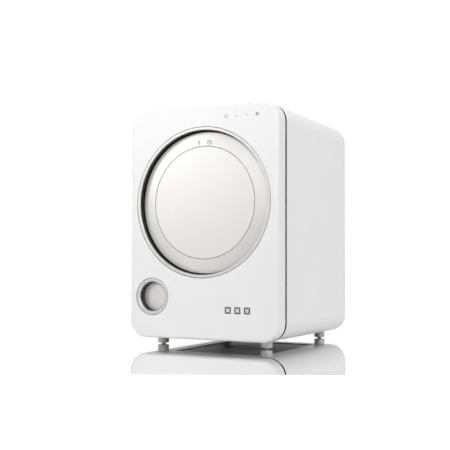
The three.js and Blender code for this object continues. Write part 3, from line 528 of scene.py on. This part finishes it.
def turned(corners, centre, steps=128, closed=True, arc_steps=5, axis="Y"):
    """A bmesh of (radius, along, fillet) corners spun once round the centre's axis.
    A profile that starts and ends on the axis isn't closed, and its poles are merged."""
    bm = bmesh.new()
    path = corner_arcs(corners, closed, arc_steps)
    verts = [bm.verts.new((p.x, p.y, 0)) for p in path]
    edges = [bm.edges.new(pair) for pair in zip(verts, verts[1:])]
    if closed:
        edges.append(bm.edges.new((verts[-1], verts[0])))
    bmesh.ops.spin(bm, geom=verts + edges, cent=(0, 0, 0), axis=(0, 1, 0), angle=FULL_TURN,
                   steps=steps, use_merge=True, use_duplicate=False)
    bmesh.ops.remove_doubles(bm, verts=bm.verts, dist=1e-6)
    bmesh.ops.recalc_face_normals(bm, faces=bm.faces)
    if axis == "Z":
        bmesh.ops.rotate(bm, verts=bm.verts, matrix=Matrix.Rotation(math.pi / 2, 3, "X"))
    bmesh.ops.translate(bm, verts=bm.verts, vec=centre)
    return bm


def rounded_rectangle(bm, low, high, y, radius, segments=14):
    """A face in X and Z whose corners are rounded."""
    corners = ((low[0], low[1]), (high[0], low[1]), (high[0], high[1]), (low[0], high[1]))
    face = bm.faces.new([bm.verts.new((x, y, z)) for x, z in corners])
    bmesh.ops.bevel(bm, geom=list(face.verts), offset=radius, offset_type="OFFSET",
                    affect="VERTICES", segments=segments, profile=0.5, material=-1)
    return bm.faces[:][-1]


def body_outline(bm, inset, y):
    low = (-HALF_WIDTH + inset, BOTTOM + inset)
    high = (HALF_WIDTH - inset, TOP - inset)
    return rounded_rectangle(bm, low, high, y, OUTLINE_RADIUS - inset)


def extruded(bm, face, y):
    """Extrudes a face along Y to a plane and returns the new end face."""
    made = bmesh.ops.extrude_face_region(bm, geom=[face])["geom"]
    end = next(g for g in made if isinstance(g, bmesh.types.BMFace))
    shift = y - end.verts[0].co.y
    bmesh.ops.translate(bm, verts=end.verts, vec=(0, shift, 0))
    return end


def round_edges(bm, edges, radius, segments):
    bmesh.ops.bevel(bm, geom=edges, offset=radius, offset_type="OFFSET", affect="EDGES",
                    segments=segments, profile=0.5, material=-1)


def face_at(bm, y):
    """The largest face that lies in the plane at y."""
    flat = [f for f in bm.faces if all(abs(v.co.y - y) < 1e-6 for v in f.verts)]
    return max(flat, key=lambda f: f.calc_area())


def open_with_lip(bm, face, depth):
    """Turns a face into a flat lip round an opening."""
    bmesh.ops.inset_region(bm, faces=[face], thickness=depth, use_even_offset=True)
    bmesh.ops.delete(bm, geom=[face], context="FACES")


def circle_edges(bm, centre, radius, y, segments):
    matrix = Matrix.Translation((centre.x, y, centre.z)) @ Matrix.Rotation(math.pi / 2, 4, "X")
    verts = bmesh.ops.create_circle(bm, cap_ends=False, radius=radius, segments=segments,
                                    matrix=matrix)["verts"]
    return list({edge for vert in verts for edge in vert.link_edges})


def pierce(bm, face, loops):
    """Fills a face again with holes in it. Each loop is the edges of one hole in its plane."""
    rim = list(face.edges)
    bmesh.ops.delete(bm, geom=[face], context="FACES_ONLY")
    holes = [edge for loop in loops for edge in loop]
    bmesh.ops.triangle_fill(bm, use_beauty=True, use_dissolve=False, edges=rim + holes)


def turn_in(bm, loops, depth):
    """Folds the rims of holes back by a depth, as a moulding's wall shows at its holes."""
    for loop in loops:
        made = bmesh.ops.extrude_edge_only(bm, edges=loop)["geom"]
        verts = [g for g in made if isinstance(g, bmesh.types.BMVert)]
        bmesh.ops.translate(bm, verts=verts, vec=(0, depth, 0))


def block(low, high, radius=0.0, segments=3):
    """A box between two corners, with rounded edges."""
    bm = bmesh.new()
    low, high = Vector(low), Vector(high)
    bmesh.ops.create_cube(bm, size=1)
    bmesh.ops.scale(bm, verts=bm.verts, vec=high - low)
    bmesh.ops.translate(bm, verts=bm.verts, vec=(low + high) / 2)
    if radius:
        round_edges(bm, bm.edges[:], radius, segments)
    return bm


def joined(*parts):
    """One bmesh that holds several."""
    whole = bmesh.new()
    for part in parts:
        mesh = bpy.data.meshes.new("part")
        part.to_mesh(mesh)
        whole.from_mesh(mesh)
        part.free()
        bpy.data.meshes.remove(mesh)
    return whole


def piece(name, bm, body, material, replaces=(), sharp=35, wall=0.0, recalc=True):
    """Makes a bmesh a finished object that rides on a body. wall thickens a sheet inwards."""
    if recalc:
        bmesh.ops.remove_doubles(bm, verts=bm.verts, dist=1e-6)
        bmesh.ops.recalc_face_normals(bm, faces=bm.faces)
    limit = math.radians(sharp)
    for edge in bm.edges:
        edge.smooth = edge.calc_face_angle(0) < limit
    for face in bm.faces:
        face.smooth = True
    mesh = bpy.data.meshes.new(name)
    bm.to_mesh(mesh)
    bm.free()
    mesh.materials.append(MATERIALS[material])
    made = bpy.data.objects.new(name, mesh)
    bpy.context.scene.collection.objects.link(made)
    if wall:
        solid = made.modifiers.new("wall", "SOLIDIFY")
        solid.thickness = wall
        solid.offset = -1
        solid.use_even_offset = True
    normals = made.modifiers.new("normals", "WEIGHTED_NORMAL")
    normals.keep_sharp = True
    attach(made, body)
    if replaces:
        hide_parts(*replaces)
    return made


# ------------------------------------------------------------------ casing


def front_panel():
    """One moulded slab: soft front edge, holes for the door, the button and four light windows."""
    bm = bmesh.new()
    face_y = FRONT + PRINT
    start = body_outline(bm, 0, PANEL_HIGH.y)
    extruded(bm, start, face_y)
    front = face_at(bm, face_y)
    round_edges(bm, list(front.edges), FRONT_EDGE_RADIUS, 9)
    back = face_at(bm, PANEL_HIGH.y)
    open_with_lip(bm, back, PANEL_LIP)
    front = face_at(bm, face_y)
    door_hole = circle_edges(bm, DOOR_CENTRE, RING_HIGH.x + SHADOW_GAP, face_y, 144)
    button_hole = circle_edges(bm, BUTTON_CENTRE, BUTTON_RING_RADIUS + SHADOW_GAP, face_y, 72)
    windows = [circle_edges(bm, Vector((x, 0, WINDOW_Z)), WINDOW_RADIUS + WINDOW_CLEARANCE,
                            face_y, 16) for x in WINDOW_XS]
    loops = [door_hole, button_hole, *windows]
    pierce(bm, front, loops)
    turn_in(bm, loops, WALL)
    piece("panel_moulding", bm, "cabinet", "panel_lacquer", ["front_panel"],
          wall=WALL / 2)


def seam_gasket():
    """The black joint: a rubber channel, open outwards between two thin lips."""
    bm = bmesh.new()
    start = body_outline(bm, GASKET_INSET, GASKET_LOW.y)
    end = extruded(bm, start, GASKET_HIGH.y)
    bmesh.ops.recalc_face_normals(bm, faces=bm.faces)
    side = [f for f in bm.faces if abs(f.normal.y) < 0.5]
    bmesh.ops.inset_region(bm, faces=side, thickness=GASKET_LIP, use_even_offset=True)
    bmesh.ops.inset_region(bm, faces=side, thickness=0.01 * MM, depth=-GASKET_GROOVE,
                           use_even_offset=True)
    for face in (end, face_at(bm, GASKET_LOW.y)):
        open_with_lip(bm, face, GASKET_DEPTH)
    bmesh.ops.bridge_loops(bm, edges=[e for e in bm.edges if e.is_boundary])
    piece("seam_gasket_moulding", bm, "cabinet", "rubber", ["seam_gasket"])


def cabinet_shell():
    """Sides, top and bottom in one, with a soft rear edge and a lip that the rear cover sits in."""
    bm = bmesh.new()
    start = body_outline(bm, 0, SHELL_LOW.y)
    extruded(bm, start, BACK)
    rear = face_at(bm, BACK)
    round_edges(bm, list(rear.edges), REAR_EDGE_RADIUS, 10)
    open_with_lip(bm, face_at(bm, BACK), REAR_LIP - REAR_EDGE_RADIUS)
    open_with_lip(bm, face_at(bm, SHELL_LOW.y), SHELL_LIP)
    level = [f for f in bm.faces if abs(f.normal.z) > 0.99]
    base = min(level, key=lambda f: f.calc_center_median().z)
    open_with_lip(bm, base, BASE_MARGIN)
    piece("cabinet_wrap", bm, "cabinet", "shell_lacquer", ["cabinet_shell"],
          wall=WALL)


# ------------------------------------------------------------------ door and its well


def door_trim_ring():
    inner, outer = WELL_RADIUS, RING_HIGH.x
    face = FRONT + TRIM_INSET
    bm = turned([
        (inner, face + 1 * MM, 0.8 * MM), (inner + 1.4 * MM, face, 0.8 * MM),
        (outer, face, 0.7 * MM), (outer, RING_HIGH.y, 0), (inner, RING_HIGH.y, 0),
    ], DOOR_CENTRE, 160)
    piece("door_trim", bm, "cabinet", "door_trim", ["door_trim_ring"])


def door_tunnel():
    """The black well and neck, as a sheet with two slots for the hinge arms."""
    neck_end = TUNNEL_HIGH.y
    step = FRONT + WELL_STEP_DEPTH
    bm = turned([
        (WELL_RADIUS, TUNNEL_LOW.y, 0), (WELL_RADIUS, step, 2 * MM),
        (NECK_RADIUS, step, 3 * MM), (NECK_RADIUS, neck_end, 0),
    ], DOOR_CENTRE, 144, closed=False)
    slots = []
    for face in bm.faces:
        middle = face.calc_center_median() - DOOR_CENTRE
        radius = Vector((middle.x, middle.z)).length
        on_wall = middle.y < step - 4 * MM and radius > WELL_RADIUS - 1 * MM
        height = abs(math.degrees(math.atan2(middle.z, middle.x)))
        if on_wall and HINGE_SLOT[0] < height < HINGE_SLOT[1]:
            slots.append(face)
    bmesh.ops.delete(bm, geom=slots, context="FACES")
    # the wall goes outwards, away from the opening
    bmesh.ops.reverse_faces(bm, faces=[f for f in bm.faces if faces_away(f)])
    piece("door_well", bm, "cabinet", "black_plastic", ["door_tunnel"],
          wall=WALL, recalc=False)


def faces_away(face):
    """True if a face of the door's well looks away from the opening."""
    middle = face.calc_center_median() - DOOR_CENTRE
    inwards = Vector((-middle.x, 0, -middle.z)).normalized() + Vector((0, -0.5, 0))
    return face.normal.dot(inwards) < 0


def door_band():
    """The door's outer band: a shallow cone that slopes back to a crisp rim."""
    inner = DISC_HIGH.x + DOOR_GROOVE
    outer = BAND_HIGH.x
    front = BAND_LOW.y
    back = BAND_HIGH.y
    fall = DOOR_SLOPE * (outer - inner)
    bm = turned([
        (inner, front, 0.5 * MM), (outer, front + fall, 0.8 * MM), (outer, back, 0.6 * MM),
        (outer - DOOR_SKIN, back, 0.6 * MM), (outer - DOOR_SKIN, front + fall + DOOR_SKIN, 1 * MM),
        (inner, front + DOOR_SKIN, 0),
    ], DOOR_CENTRE, 180)
    piece("door_band", bm, "door", "door_lacquer", ["door_outer_band"])


def door_disc():
    """The centre disc, a hair crowned, so that light slides across it."""
    radius = DISC_HIGH.x
    front = DISC_LOW.y
    bm = turned([
        (0, front, 0), (radius * 0.5, front + DISC_CROWN / 4, 20 * MM),
        (radius, front + DISC_CROWN, 0.5 * MM),
        (radius, DISC_HIGH.y, 0), (0, DISC_HIGH.y, 0),
    ], DOOR_CENTRE, 180, closed=False)
    piece("door_disc", bm, "door", "door_lacquer", ["door_centre_disc"])


def door_inner():
    """What shows when the door is open: the liner, the smoked bowl and the seal."""
    low, high = DOOR_FRAME_LOW, DOOR_FRAME_HIGH
    inner = DOOR_LINER_HOLE
    rebate = DOOR_LINER_FACE + 1 * MM
    bm = turned([
        (inner, low.y, 1 * MM), (DOOR_LINER_FACE, low.y, 1 * MM),
        (high.x, low.y + DOOR_LINER_STEP, 2 * MM), (high.x, high.y, 2 * MM),
        (rebate, high.y, 1 * MM), (rebate, high.y - DOOR_LINER_SKIN, 1 * MM),
        (inner, high.y - DOOR_LINER_SKIN, 1 * MM),
    ], DOOR_CENTRE, 144)
    piece("door_liner", bm, "door", "grey_plastic", ["door_frame"])
    rim = BOWL_HIGH.x
    top = rim - BOWL_TAPER
    wall = BOWL_WALL
    bm = turned([
        (0, BOWL_HIGH.y, 0), (top, BOWL_HIGH.y, 12 * MM), (rim - 5 * MM, BOWL_LOW.y + wall, 2 * MM),
        (rim, BOWL_LOW.y + wall, 0.5 * MM), (rim, BOWL_LOW.y, 0.5 * MM),
        (rim - BOWL_FLANGE, BOWL_LOW.y, 2 * MM), (top - wall, BOWL_HIGH.y - wall, 10 * MM),
        (0, BOWL_HIGH.y - wall, 0),
    ], DOOR_CENTRE, 144, closed=False, arc_steps=7)
    piece("door_bowl_moulding", bm, "door", "clear_plastic", ["door_bowl"])
    inner = SEAL_HIGH.x - SEAL_WIDTH
    middle = (inner + SEAL_HIGH.x) / 2
    bm = turned([
        (inner, SEAL_LOW.y, 0.4 * MM), (SEAL_HIGH.x, SEAL_LOW.y, 0.4 * MM),
        (middle + SEAL_LIP, SEAL_HIGH.y, 0.8 * MM), (middle - SEAL_LIP, SEAL_HIGH.y, 0.8 * MM),
    ], DOOR_CENTRE, 144)
    piece("door_lip_seal", bm, "door", "rubber", ["door_seal"])


# ------------------------------------------------------------------ button


def button_parts():
    """The button's trim ring, which dips towards the well, and its hollow cap on a stem."""
    centre = BUTTON_CENTRE
    well = BUTTON_RING_RADIUS - BUTTON_TRIM_WIDTH
    face = FRONT + TRIM_INSET
    bm = turned([
        (well, face + 2.2 * MM, 1 * MM), (well + 3 * MM, face, 1.2 * MM),
        (BUTTON_RING_RADIUS, face, 0.7 * MM), (BUTTON_RING_RADIUS, BUTTON_RING_HIGH.y, 0),
        (well, BUTTON_RING_HIGH.y, 0),
    ], centre, 96)
    piece("button_trim", bm, "cabinet", "button_trim", ["button_trim_ring"])
    radius, front = BUTTON_RADIUS, BUTTON_LOW.y
    back, under = front + CAP_DEPTH, front + CAP_SKIN
    bm = turned([
        (0, front, 0), (radius, front, 0.8 * MM), (radius, back, 0.5 * MM),
        (radius - CAP_WALL, back, 0.5 * MM), (radius - CAP_WALL, under, 0),
        (CAP_STEM, under, 0), (CAP_STEM, BUTTON_HIGH.y, 0.5 * MM), (0, BUTTON_HIGH.y, 0),
    ], centre, 96, closed=False)
    piece("button_cap", bm, "button", "button_metal", ["start_button"])


def button_coil():
    """The button's return spring, built as one coil at rest; it is not made to shorten as the button
    goes in.
    """
    low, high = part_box("button_spring")
    wire = 1 * MM
    turns = 4
    steps = 24 * turns
    rise = high.y - low.y - 2 * wire
    bm = bmesh.new()
    matrix = Matrix.Translation(((high.x - low.x) / 2 - wire, 0, 0))
    ring = bmesh.ops.create_circle(bm, cap_ends=False, radius=wire, segments=10, matrix=matrix)
    bmesh.ops.spin(bm, geom=ring["verts"] + bm.edges[:], cent=(0, 0, 0), axis=(0, 1, 0),
                   dvec=(0, rise / steps, 0), angle=turns * FULL_TURN, steps=steps,
                   use_duplicate=False)
    bmesh.ops.holes_fill(bm, edges=[e for e in bm.edges if e.is_boundary])
    bmesh.ops.translate(bm, verts=bm.verts, vec=(BUTTON_CENTRE.x, low.y + wire, BUTTON_CENTRE.z))
    coil = piece("button_coil", bm, "cabinet", "drum_steel", ["button_spring"])
    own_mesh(coil)


# ------------------------------------------------------------------ feet


def levelling_feet():
    """Each foot: a fixed collar under the body and a threaded glide that screws out of it."""
    for end in ("front", "rear"):
        for side in ("left", "right"):
            place = f"{end}_{side}"
            low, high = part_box("foot_collar_" + place)
            centre = Vector(((low.x + high.x) / 2, (low.y + high.y) / 2, 0))
            outer = (high.x - low.x) / 2
            stem = FOOT_STEM
            bore = stem + FOOT_CLEARANCE
            bm = turned([
                (bore, high.z, 0), (outer, high.z, 0.4 * MM), (outer, low.z, 0.8 * MM),
                (bore, low.z, 0.4 * MM),
            ], centre, 48, axis="Z")
            piece("collar_" + place, bm, "cabinet", "foot_metal", ["foot_collar_" + place])
            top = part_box("levelling_foot_" + place)[1].z
            pitch = (top - THREAD_START) / FOOT_TURNS
            thread = []
            for i in range(FOOT_TURNS):
                thread.append((stem, top - i * pitch, 0))
                thread.append((stem - THREAD_DEPTH, top - (i + 0.5) * pitch, 0))
            bm = turned([
                (0, top, 0), *thread, (stem, 3.6 * MM, 0.3 * MM), (stem, 0, 0.8 * MM), (0, 0, 0),
            ], centre, 40, closed=False, axis="Z", arc_steps=3)
            piece("foot_" + place, bm, "foot_" + place, "foot_metal",
                  ["levelling_foot_" + place])


# ------------------------------------------------------------------ drum


def drum():
    """The punched sheet that the laundry tumbles in."""
    radius = DRUM_HIGH.x
    inner = radius - DRUM_WALL
    bm = turned([
        (radius, DRUM_LOW.y, 0.5 * MM), (radius, DRUM_HIGH.y, 0.5 * MM),
        (inner, DRUM_HIGH.y, 0), (inner, DRUM_LOW.y, 0),
    ], DOOR_CENTRE, 128)
    piece("drum_wall", bm, "drum", "drum_wall", ["drum_shell"])


# ------------------------------------------------------------------ printed marks


def printed(name, bm, material, body="cabinet"):
    return piece(name, bm, body, material, sharp=30)


def flat_shape(centre, radius, segments, y, thickness, turn=0.0, hole=0.0):
    """A thin print in X and Z: a round or a polygon, or its outline when hole is given."""
    bm = bmesh.new()
    matrix = (Matrix.Translation((centre.x, y, centre.z)) @ Matrix.Rotation(math.pi / 2, 4, "X")
              @ Matrix.Rotation(turn, 4, "Z"))
    bmesh.ops.create_circle(bm, cap_ends=True, radius=radius, segments=segments, matrix=matrix)
    face = bm.faces[:][0]
    if hole:
        bmesh.ops.inset_region(bm, faces=[face], thickness=radius - hole, use_even_offset=True,
                               use_boundary=True)
        bmesh.ops.delete(bm, geom=[face], context="FACES")
    made = bmesh.ops.extrude_face_region(bm, geom=bm.faces[:])["geom"]
    verts = [g for g in made if isinstance(g, bmesh.types.BMVert)]
    bmesh.ops.translate(bm, verts=verts, vec=(0, -thickness, 0))
    return bm


def light_marks():
    """Four marks along the top right, each round its own light window."""
    y = FRONT + PRINT
    quarter = math.pi / 4
    diamond, dot, bar, square = [Vector((x, 0, WINDOW_Z)) for x in WINDOW_XS]
    printed("mark_diamond", flat_shape(diamond, 5.6 * MM, 4, y, PRINT, hole=4.2 * MM), "grey_ink")
    printed("mark_dot", flat_shape(dot, 3 * MM, 24, y, PRINT, hole=1.8 * MM), "pale_ink")
    printed("mark_bar", flat_shape(bar, 3.4 * MM, 4, y, PRINT, quarter, hole=2.4 * MM), "pale_ink")
    printed("mark_square", flat_shape(square, 5.8 * MM, 4, y, PRINT, quarter, hole=2.2 * MM),
            "grey_ink")


def power_marks():
    """On and off marks at the top of the door's band."""
    y = BAND_LOW.y
    z = DOOR_CENTRE.z + 151 * MM
    thickness = 0.1 * MM
    on = block((-16.4 * MM, y - thickness, z - 5 * MM), (-13.8 * MM, y, z + 5 * MM))
    printed("mark_on", on, "grey_ink", "door")
    off = flat_shape(Vector((15.1 * MM, 0, z - 1 * MM)), 5.6 * MM, 40, y, thickness, hole=4 * MM)
    printed("mark_off", off, "grey_ink", "door")


def care_marks():
    """Three tumble-drying care symbols, where a maker would put a name."""
    y = FRONT + PRINT
    quarter = math.pi / 4
    parts = []
    for i, dots in enumerate((1, 2, 3)):
        centre = Vector(((75 + 26 * i) * MM, 0, 95 * MM))
        parts.append(flat_shape(centre, 11.5 * MM, 4, y, PRINT, quarter, hole=9.2 * MM))
        parts.append(flat_shape(centre, 6.2 * MM, 36, y, PRINT, hole=4.7 * MM))
        for k in range(dots):
            spot = centre + Vector(((k - (dots - 1) / 2) * 2.6 * MM, 0, 0))
            parts.append(flat_shape(spot, 0.9 * MM, 12, y, PRINT))
    printed("care_marks", joined(*parts), "dark_ink")


# ------------------------------------------------------------------ assembly

MATERIALS = make_materials()


def paint_frame():
    """Every CAD node that still shows takes the material of its slot."""
    by_slot = {"body_paint": "shell_lacquer", "trim_metal": "button_metal"}
    by_node = {"light_guide": "opal_plastic"}
    for row in frame["record"]["subparts"]:
        slot = row["material_slot"]
        name = by_node.get(row["node"], by_slot.get(slot, slot))
        mesh = frame["nodes"][row["node"]].data
        mesh.materials.clear()
        mesh.materials.append(MATERIALS[name])


make_camera()
make_studio()
paint_frame()
front_panel()
seam_gasket()
cabinet_shell()
door_trim_ring()
door_tunnel()
door_band()
door_disc()
door_inner()
button_parts()
button_coil()
levelling_feet()
drum()
light_marks()
power_marks()
care_marks()
